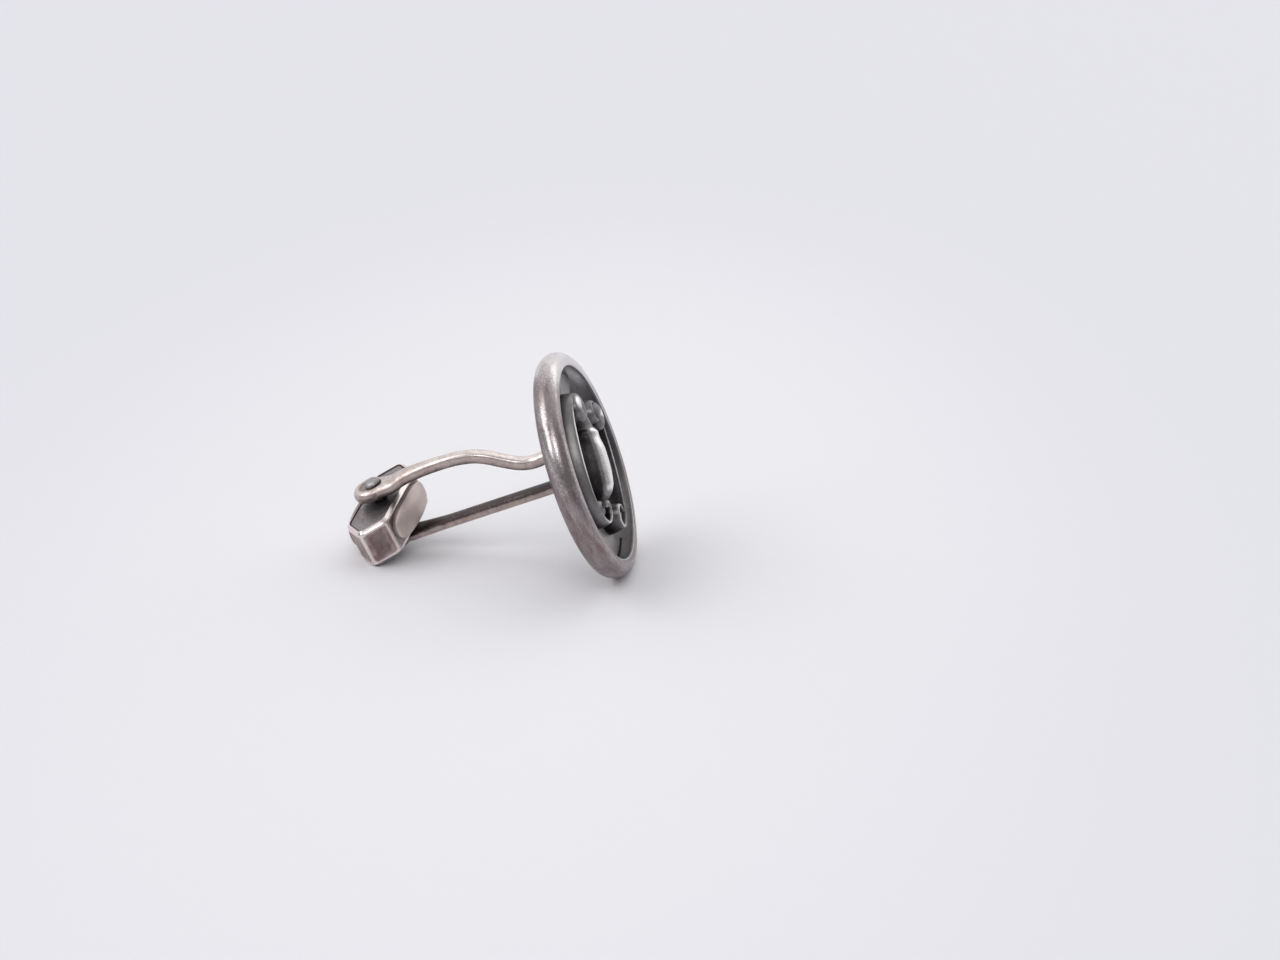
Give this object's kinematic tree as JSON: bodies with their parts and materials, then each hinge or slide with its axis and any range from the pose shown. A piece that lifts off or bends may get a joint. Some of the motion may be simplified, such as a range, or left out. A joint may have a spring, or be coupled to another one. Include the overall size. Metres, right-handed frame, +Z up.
{
  "type": "cufflink",
  "caption": "Cufflink with an open ring face round a bud and scrolls, a two-armed fork and a swivelling six-sided bar on a riveted pin.",
  "frame": {"origin": "on the table plane, under the middle of the bounding box, lying at rest on the ring rim, the lower eye and a lower corner of the swivel bar", "axes": "+X from the swivel bar towards the ring face, along the table; +Y across; +Z up from the table"},
  "size_m": [0.0252, 0.02, 0.0186],
  "materials": {
    "silver_tarnished": "worn satin with brown and purple tarnish",
    "silver_blackened": "blackened, low sheen",
    "silver_dark_polished": "blackened with crests polished bright",
    "silver_warm": "worn satin with warm tarnish",
    "silver_bright": "polished by wear",
    "silver_satin": "satin",
    "spring_steel": "bright spring steel"
  },
  "bodies": {
    "link": {"face_ring": "silver_tarnished", "back_bar": "silver_blackened", "centre_bud": "silver_dark_polished", "left_scroll": "silver_dark_polished", "right_scroll": "silver_dark_polished", "foot_post": "silver_blackened", "lower_arm": "silver_warm", "upper_arm": "silver_warm", "pivot_pin": "silver_bright"},
    "swivel_bar": {"toggle_frame": "silver_tarnished", "top_plate": "silver_blackened", "bottom_plate": "silver_blackened", "front_pad": "silver_satin", "rear_pad": "silver_satin", "click_spring": "spring_steel"}
  },
  "joints": [
    {"name": "toggle_swivel", "type": "hinge", "parent": "link", "child": "swivel_bar", "pos_m": [-0.00916, -0.00027, 0.00328], "axis": [-0.376, -0.2438, 0.894], "continuous": true}
  ]
}
